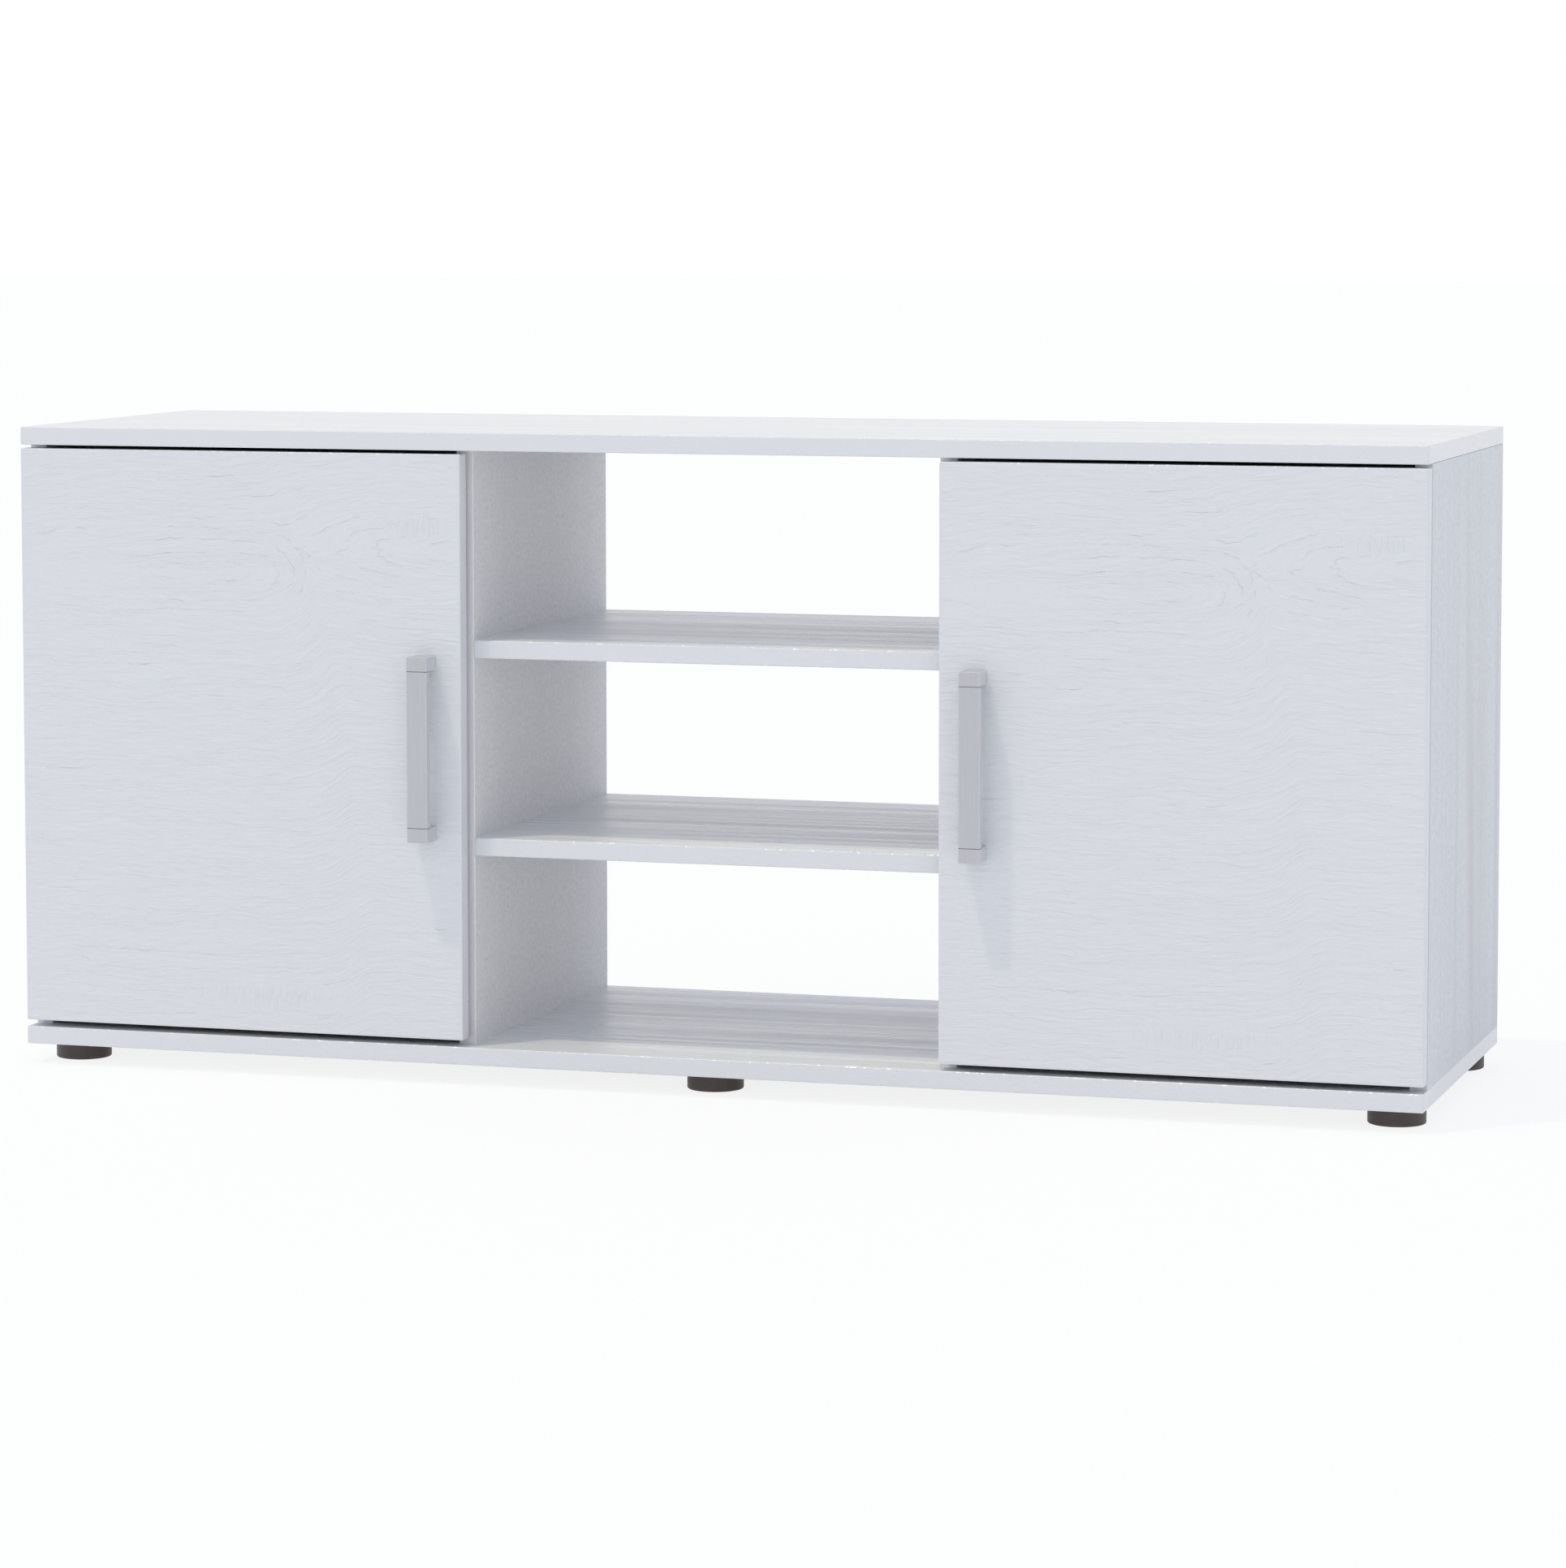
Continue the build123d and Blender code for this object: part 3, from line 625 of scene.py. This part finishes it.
def door_face(node, settings, edges):
    """White melamine pressed with fine wavy grain along X, growth-ring lines and a few upright flecks."""
    material, tree, shader = new_material(f"pressed_grain_{node}")
    low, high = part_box(node)
    height = high.z - low.z
    plain = place(tree)
    wood = place(tree, ALONG_X, low)
    field, bent = figure_field(tree, wood, height)
    line = ring_lines(tree, wood, field, height, settings.ring_spacing)
    top = patch(tree, wood, TOP_ALONG, height - TOP_DOWN, TOP_SPREAD)
    foot = patch(tree, wood, FOOT_ALONG, FOOT_UP, FOOT_SPREAD)
    flecked = calc(tree, "MAXIMUM", top, foot)
    lines, grain = grain_lines(tree, bent, place(tree, ALONG_Z, low), flecked, settings)

    lows, highs = edged_box(node, "XZ")
    edge = use_group(tree, "Edging", Vector=plain, Low=lows, High=highs, Strip=edges.edging)
    face = calc(tree, "SUBTRACT", 1.0, edge)
    pressed = bump(tree, calc(tree, "MULTIPLY", lines, face), settings.grain_relief)
    ringed = bump(tree, calc(tree, "MULTIPLY", line, face), -settings.ring_relief, Normal=pressed)
    wavy = uneven_edge(tree, plain, edge, ringed, edges.edging_relief)
    tinted = calc(tree, "MULTIPLY", line, RING_TINT_SHARE)
    colour = mix_colours(tree, tinted, rgba(settings.white), rgba(settings.ring_tint))
    satin = settings.roughness
    rough = ramp(tree, grain, *MOST_NOISE, satin + GRAIN_GLOSS, satin - GRAIN_GLOSS)
    colour, rough, normal = rub_arrises(tree, plain, node, edges, colour, rough, wavy)
    feed(tree, shader, Base_Color=colour, Roughness=rough, Normal=normal)
    return material


# Painted backs

FIBRE_SIZE = 0.0022
FIBRE_RELIEF = 0.0001
FIBRE_SHARE, MOTTLE_SHARE = 0.7, 0.3  # shares of the fibres and of the mottling in the colour
MOTTLE_SIZE = 0.012
MOTTLE_SHADE = 0.95
PAINT_NOISE = (0.38, 0.62)
PAINT_ROUGHNESS = (0.55, 0.68)


def painted_hardboard(settings):
    """Thin hardboard under white paint: soft mottling and a fine fibrous surface."""
    material, tree, shader = new_material("painted_hardboard")
    plain = place(tree)
    fibre = use_group(tree, "Pores", Vector=plain, Size=FIBRE_SIZE)
    mottle = use_group(tree, "Pores", Vector=plain, Size=MOTTLE_SIZE)
    mixed = calc(tree, "MULTIPLY_ADD", fibre, FIBRE_SHARE, calc(tree, "MULTIPLY", mottle, MOTTLE_SHARE))
    white, grey = rgba(settings.hardboard), rgba(settings.hardboard, MOTTLE_SHADE)
    colour = mix_colours(tree, ramp(tree, mixed, *PAINT_NOISE), white, grey)
    rough = ramp(tree, fibre, *MOST_NOISE, *PAINT_ROUGHNESS)
    feed(tree, shader, Base_Color=colour, Roughness=rough, Normal=bump(tree, fibre, FIBRE_RELIEF))
    return material


# Handles

SEAM = 0.0003  # half breadth of the painted shade line in the hairline between a handle's bar and its posts
SEAM_END = (0.8, 1.2)  # where it starts and stops fading, in half breadths
SIDE_LIGHT_SKIN = 0.0005  # how far in from a handle's sides the painted light that makes them paler reaches
BRUSHING = {"Length": 0.04, "Breadth": 0.0004, "Sway": 0.0002}
BRUSHING_RELIEF = 0.00002
# The sides' factor is painted light that makes them paler; the seam's is painted shade in the hairlines
BRUSHING_SHADE, SIDE_PAINTED_LIGHT, SEAM_PAINTED_SHADE = 0.94, 1.18, 0.40
SATIN_CLOUD = 0.02  # size of the clouds in the gloss
SATIN_ROUGHNESS = (0.38, 0.46)
SATIN_METAL = 0.15


def bar_seam_shade(tree, plain, hand):
    """Mask of the painted shade in the hairlines: 1 where a handle's bar meets its posts, beside the bar, and
    0 elsewhere.
    """
    bar_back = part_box(f"{hand}_handle_bar")[1].y
    bar_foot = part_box(f"{hand}_handle_lower_post")[1].z
    bar_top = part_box(f"{hand}_handle_upper_post")[0].z
    _, depth, level = parts_of(tree, plain)
    from_middle = calc(tree, "ABSOLUTE", calc(tree, "SUBTRACT", level, (bar_foot + bar_top) / 2))
    from_seam = calc(tree, "ABSOLUTE", calc(tree, "SUBTRACT", from_middle, (bar_top - bar_foot) / 2))
    hairline = fade(tree, from_seam, SEAM_END[0] * SEAM, SEAM_END[1] * SEAM)
    return calc(tree, "MULTIPLY", hairline, fade(tree, depth, bar_back - SEAM, bar_back))


def satin_metal(hand, settings):
    """Satin grey handle: fine brushing along it, sides made paler by painted light and hairlines at the ends
    of the bar darkened by painted shade.
    """
    material, tree, shader = new_material(f"{hand}_handle_satin")
    low, high = edged_box(f"{hand}_handle_bar", "X")
    plain = place(tree)
    brushed = use_group(tree, "Streaks", Vector=place(tree, ALONG_Z), **BRUSHING)
    cloud = use_group(tree, "Pores", Vector=plain, Size=SATIN_CLOUD)
    sides = use_group(tree, "Edging", Vector=plain, Low=low, High=high, Strip=SIDE_LIGHT_SKIN)
    deep, satin = rgba(settings.satin, BRUSHING_SHADE), rgba(settings.satin)
    face = mix_colours(tree, ramp(tree, brushed, *MOST_NOISE), deep, satin)
    # painted light: the sides are made paler, as if more light reached them
    painted_light_sides = mix_colours(tree, sides, face, rgba(settings.satin, SIDE_PAINTED_LIGHT))
    # painted shade: the hairlines between bar and posts are darkened as if the crease were in shade
    colour = mix_colours(tree, bar_seam_shade(tree, plain, hand), painted_light_sides, rgba(settings.satin, SEAM_PAINTED_SHADE))
    rough = ramp(tree, cloud, *MOST_NOISE, *SATIN_ROUGHNESS)
    normal = bump(tree, brushed, BRUSHING_RELIEF)
    feed(tree, shader, Base_Color=colour, Roughness=rough, Metallic=SATIN_METAL, Normal=normal)
    return material


# Feet

SPARK_SIZE = 0.0009  # size of the moulded texture
SPARK_RELIEF = 0.00006
SCUFF_HEIGHT = 0.004  # how far up from the floor the scuffs reach
SCUFF_SIZE = 0.012
SCUFF_NOISE = (0.45, 0.6)
SCUFF_SHARE = 0.6
SCUFF_SHADE = 1.8
FOOT_ROUGHNESS = (0.42, 0.54)


def moulded_plastic(settings):
    """Dark brown moulded foot: fine spark-eroded texture and slightly paler scuffs near the floor."""
    material, tree, shader = new_material("foot_plastic")
    plain = place(tree)
    texture = use_group(tree, "Pores", Vector=plain, Size=SPARK_SIZE)
    cloud = use_group(tree, "Pores", Vector=plain, Size=SCUFF_SIZE)
    low_down = ramp(tree, parts_of(tree, plain)[2], SCUFF_HEIGHT, 0.0)
    scuffed = product(tree, low_down, ramp(tree, cloud, *SCUFF_NOISE), SCUFF_SHARE)
    colour = mix_colours(tree, scuffed, rgba(settings.foot), rgba(settings.foot, SCUFF_SHADE))
    rough = ramp(tree, texture, *MOST_NOISE, *FOOT_ROUGHNESS)
    feed(tree, shader, Base_Color=colour, Roughness=rough, Normal=bump(tree, texture, SPARK_RELIEF))
    return material


# Hinges, fasteners, dowels and bumpers

NICKEL_PLATING = {"roughness": (0.18, 0.28), "cloud_size": 0.01}
ZINC_PLATING = {"roughness": (0.32, 0.45), "cloud_size": 0.003}
PLATING_SHADE = 0.85
PLATING_NOISE = (0.35, 0.65)
DRAWING = {"Length": 0.02, "Breadth": 0.0003, "Sway": 0.0002}
DRAWING_RELIEF = 0.00002
RAYS = {"Length": 0.006, "Breadth": 0.0006, "Sway": 0.0004}
RAY_RELIEF = 0.0001
RAY_SHADE = 0.7
RAY_NOISE = (0.5, 0.65)
BEECH_ROUGHNESS = (0.55, 0.65)
HAZE_SIZE = 0.002
HAZE_SHADE = 0.92
HAZE_NOISE = (0.35, 0.65)
BUMPER_ROUGHNESS = (0.22, 0.34)
BUMPER_CLEAR = 0.5


def plated_metal(name, colour, roughness, cloud_size):
    """Plated steel: slow clouds in the plating and fine drawing marks."""
    material, tree, shader = new_material(name)
    cloud = use_group(tree, "Pores", Vector=place(tree), Size=cloud_size)
    marks = use_group(tree, "Streaks", Vector=place(tree), **DRAWING)
    clouded = mix_colours(tree, ramp(tree, cloud, *PLATING_NOISE), rgba(colour, PLATING_SHADE), rgba(colour))
    rough = ramp(tree, cloud, *MOST_NOISE, *roughness)
    normal = bump(tree, marks, DRAWING_RELIEF)
    feed(tree, shader, Base_Color=clouded, Roughness=rough, Metallic=1.0, Normal=normal)
    return material


def beech_wood(settings):
    """Plain beech: short dark rays on a pale ground."""
    material, tree, shader = new_material("beech")
    rays = use_group(tree, "Streaks", Vector=place(tree), **RAYS)
    pale, dark = rgba(settings.beech), rgba(settings.beech, RAY_SHADE)
    colour = mix_colours(tree, ramp(tree, rays, *RAY_NOISE), pale, dark)
    rough = ramp(tree, rays, *MOST_NOISE, *BEECH_ROUGHNESS)
    feed(tree, shader, Base_Color=colour, Roughness=rough, Normal=bump(tree, rays, RAY_RELIEF))
    return material


def clear_rubber(settings):
    """Clear soft pad: half see-through, with a little haze."""
    material, tree, shader = new_material("bumper_clear")
    haze = use_group(tree, "Pores", Vector=place(tree), Size=HAZE_SIZE)
    clear, milky = rgba(settings.bumper), rgba(settings.bumper, HAZE_SHADE)
    colour = mix_colours(tree, ramp(tree, haze, *HAZE_NOISE), clear, milky)
    rough = ramp(tree, haze, *MOST_NOISE, *BUMPER_ROUGHNESS)
    feed(tree, shader, Base_Color=colour, Roughness=rough, Transmission_Weight=BUMPER_CLEAR)
    return material


# Dressing the pieces

def nodes_in_slot(slot):
    """The names of the pieces that the record gives a material slot."""
    return [part["node"] for part in frame["record"]["subparts"] if part["material_slot"] == slot]


def dress(node, material):
    """Puts a material on every slot of a piece."""
    for slot in frame["nodes"][node].material_slots:
        slot.material = material


def dress_all(slot, material):
    """Puts a material on every piece of a record slot."""
    for node in nodes_in_slot(slot):
        dress(node, material)


class StandOperator:
    """What the operators share."""
    bl_options = {"REGISTER", "UNDO"}


class TVSTAND_OT_boards(StandOperator, Operator):
    """Finish the top, bottom, uprights and shelves in white melamine"""
    bl_idname = "tv_stand.boards"
    bl_label = "Boards"

    def execute(self, context):
        settings = context.scene.tv_stand.boards
        for node in nodes_in_slot("white_board"):
            dress(node, melamine(node, node.endswith(("end_panel", "divider")), settings))
        return {"FINISHED"}


class TVSTAND_OT_doors(StandOperator, Operator):
    """Finish both doors in white melamine pressed with wood grain"""
    bl_idname = "tv_stand.doors"
    bl_label = "Doors"

    def execute(self, context):
        settings = context.scene.tv_stand
        for node in nodes_in_slot("door_board"):
            dress(node, door_face(node, settings.doors, settings.boards))
        return {"FINISHED"}


class TVSTAND_OT_backs(StandOperator, Operator):
    """Finish the cupboards' backs in painted hardboard"""
    bl_idname = "tv_stand.backs"
    bl_label = "Backs"

    def execute(self, context):
        dress_all("hardboard", painted_hardboard(context.scene.tv_stand.fittings))
        return {"FINISHED"}


class TVSTAND_OT_handles(StandOperator, Operator):
    """Finish the handles' bars and posts in satin grey"""
    bl_idname = "tv_stand.handles"
    bl_label = "Handles"

    def execute(self, context):
        settings = context.scene.tv_stand.fittings
        finishes = {hand: satin_metal(hand, settings) for hand in ("left", "right")}
        for node in nodes_in_slot("handle_satin"):
            dress(node, finishes[node.split("_")[0]])
        return {"FINISHED"}


class TVSTAND_OT_feet(StandOperator, Operator):
    """Finish the feet in dark brown plastic"""
    bl_idname = "tv_stand.feet"
    bl_label = "Feet"

    def execute(self, context):
        dress_all("foot_plastic", moulded_plastic(context.scene.tv_stand.fittings))
        return {"FINISHED"}


class TVSTAND_OT_hardware(StandOperator, Operator):
    """Finish the hinges, screws, cams, pins, dowels and bumpers"""
    bl_idname = "tv_stand.hardware"
    bl_label = "Hardware"

    def execute(self, context):
        settings = context.scene.tv_stand.fittings
        dress_all("hinge_nickel", plated_metal("hinge_nickel", settings.nickel, **NICKEL_PLATING))
        dress_all("zinc", plated_metal("zinc", settings.zinc, **ZINC_PLATING))
        dress_all("beech", beech_wood(settings))
        dress_all("bumper_clear", clear_rubber(settings))
        return {"FINISHED"}


# Stage

WHITE = (1, 1, 1, 1)
FLOOR_HALF = 4 * FAR  # half the floor's length and breadth
FLOOR_MOTTLE = 0.4  # size of the floor's mottling
FLOOR_SHADE = 0.99
FLOOR_ROUGHNESS = 0.9


def seen_ray(tree):
    """1 for rays from the camera, reflections and glass, which see the plain white background."""
    path = add_node(tree, "ShaderNodeLightPath").outputs
    glossy = calc(tree, "MAXIMUM", path["Is Camera Ray"], path["Is Glossy Ray"])
    return calc(tree, "MAXIMUM", glossy, path["Is Transmission Ray"])


def make_world(settings):
    """Soft light from all round, a little dimmer from the right, seen as plain white."""
    world = bpy.data.worlds.new("soft_studio")
    world.use_nodes = True
    tree = world.node_tree
    tree.nodes.clear()
    rightness = parts_of(tree, add_node(tree, "ShaderNodeTexCoord").outputs["Generated"])[0]
    lean = -settings.sky_lean * settings.sky_level
    level = calc(tree, "MULTIPLY_ADD", rightness, lean, settings.sky_level)
    light = add_node(tree, "ShaderNodeBackground", {"Color": rgba(settings.sky), "Strength": level})
    white = add_node(tree, "ShaderNodeBackground", {"Color": WHITE, "Strength": 1.0})
    shaders = {0: seen_ray(tree), 1: light.outputs[0], 2: white.outputs[0]}
    mixed = add_node(tree, "ShaderNodeMixShader", shaders)
    add_node(tree, "ShaderNodeOutputWorld", {"Surface": mixed.outputs[0]})
    bpy.context.scene.world = world


def floor_finish(settings):
    """Pale matt floor, partly seen as plain white so that its shadow stays light."""
    material, tree, shader = new_material("pale_floor")
    mottle = use_group(tree, "Pores", Vector=place(tree), Size=FLOOR_MOTTLE)
    colour = mix_colours(tree, mottle, rgba(settings.floor), rgba(settings.floor, FLOOR_SHADE))
    feed(tree, shader, Base_Color=colour, Roughness=FLOOR_ROUGHNESS, Specular_IOR_Level=0.0)
    glow = add_node(tree, "ShaderNodeEmission", {"Color": WHITE, "Strength": 1.0})
    share = calc(tree, "MULTIPLY", seen_ray(tree), settings.floor_white)
    mixed = add_node(tree, "ShaderNodeMixShader", {0: share, 1: shader.outputs[0], 2: glow.outputs[0]})
    tree.links.new(mixed.outputs[0], tree.nodes["Material Output"].inputs["Surface"])
    return material


def make_floor(settings):
    """A wide pale floor that keeps a light shadow of the stand."""
    half = FLOOR_HALF
    corners = [(-half, -half, 0), (half, -half, 0), (half, half, 0), (-half, half, 0)]
    mesh = bpy.data.meshes.new("floor")
    mesh.from_pydata(corners, [], [(0, 1, 2, 3)])
    mesh.materials.append(floor_finish(settings))
    floor = bpy.data.objects.new("floor", mesh)
    bpy.context.scene.collection.objects.link(floor)


def make_sun(settings):
    """A warm key light from high up, a little to the left and in front."""
    light = bpy.data.lights.new("key_light", "SUN")
    light.energy = settings.sun_level
    light.color = settings.sun
    light.angle = settings.sun_size
    lamp = bpy.data.objects.new("key_light", light)
    lamp.rotation_mode = "QUATERNION"
    lamp.rotation_quaternion = Vector(settings.sun_path).to_track_quat("-Z", "Y")
    bpy.context.scene.collection.objects.link(lamp)


def make_camera(settings):
    """A camera at the picture's viewing angle."""
    lens = bpy.data.cameras.new("camera")
    lens.lens = settings.camera_lens
    lens.shift_x, lens.shift_y = settings.camera_shift
    camera = bpy.data.objects.new("camera", lens)
    camera.location = settings.camera_place
    camera.rotation_euler = Euler(settings.camera_turn)
    bpy.context.scene.collection.objects.link(camera)
    bpy.context.scene.camera = camera


class TVSTAND_OT_stage(StandOperator, Operator):
    """Set the floor, the light and the camera"""
    bl_idname = "tv_stand.stage"
    bl_label = "Stage"

    def execute(self, context):
        settings = context.scene.tv_stand.stage
        make_world(settings)
        make_floor(settings)
        make_sun(settings)
        make_camera(settings)
        context.scene.view_settings.view_transform = "Standard"
        return {"FINISHED"}


class TVSTAND_PT_panel(Panel):
    """Lists the finishes and the stage"""
    bl_idname = "TVSTAND_PT_panel"
    bl_label = "White TV stand"
    bl_space_type = "VIEW_3D"
    bl_region_type = "UI"
    bl_category = "TV Stand"

    def draw(self, context):
        for operator in PIECES + STAGE:
            self.layout.operator(operator.bl_idname)
        for group in ("boards", "doors", "fittings", "stage"):
            box = self.layout.box()
            box.label(text=group.title())
            settings = getattr(context.scene.tv_stand, group)
            for name in settings.bl_rna.properties.keys():
                if name not in ("rna_type", "name"):
                    box.prop(settings, name)


PIECES = [
    TVSTAND_OT_boards,
    TVSTAND_OT_doors,
    TVSTAND_OT_backs,
    TVSTAND_OT_handles,
    TVSTAND_OT_feet,
    TVSTAND_OT_hardware,
]
STAGE = [TVSTAND_OT_stage]
SETTINGS = [BoardSettings, DoorSettings, FittingSettings, StageSettings, StandSettings]
CLASSES = SETTINGS + PIECES + STAGE + [TVSTAND_PT_panel]


def register():
    for cls in CLASSES:
        bpy.utils.register_class(cls)
    bpy.types.Scene.tv_stand = PointerProperty(type=StandSettings)


def unregister():
    del bpy.types.Scene.tv_stand
    for cls in reversed(CLASSES):
        bpy.utils.unregister_class(cls)


def main():
    register()
    make_shared_groups()
    bpy.ops.tv_stand.boards()
    bpy.ops.tv_stand.doors()
    bpy.ops.tv_stand.backs()
    bpy.ops.tv_stand.handles()
    bpy.ops.tv_stand.feet()
    bpy.ops.tv_stand.hardware()
    bpy.ops.tv_stand.stage()


if __name__ == "__main__":
    main()
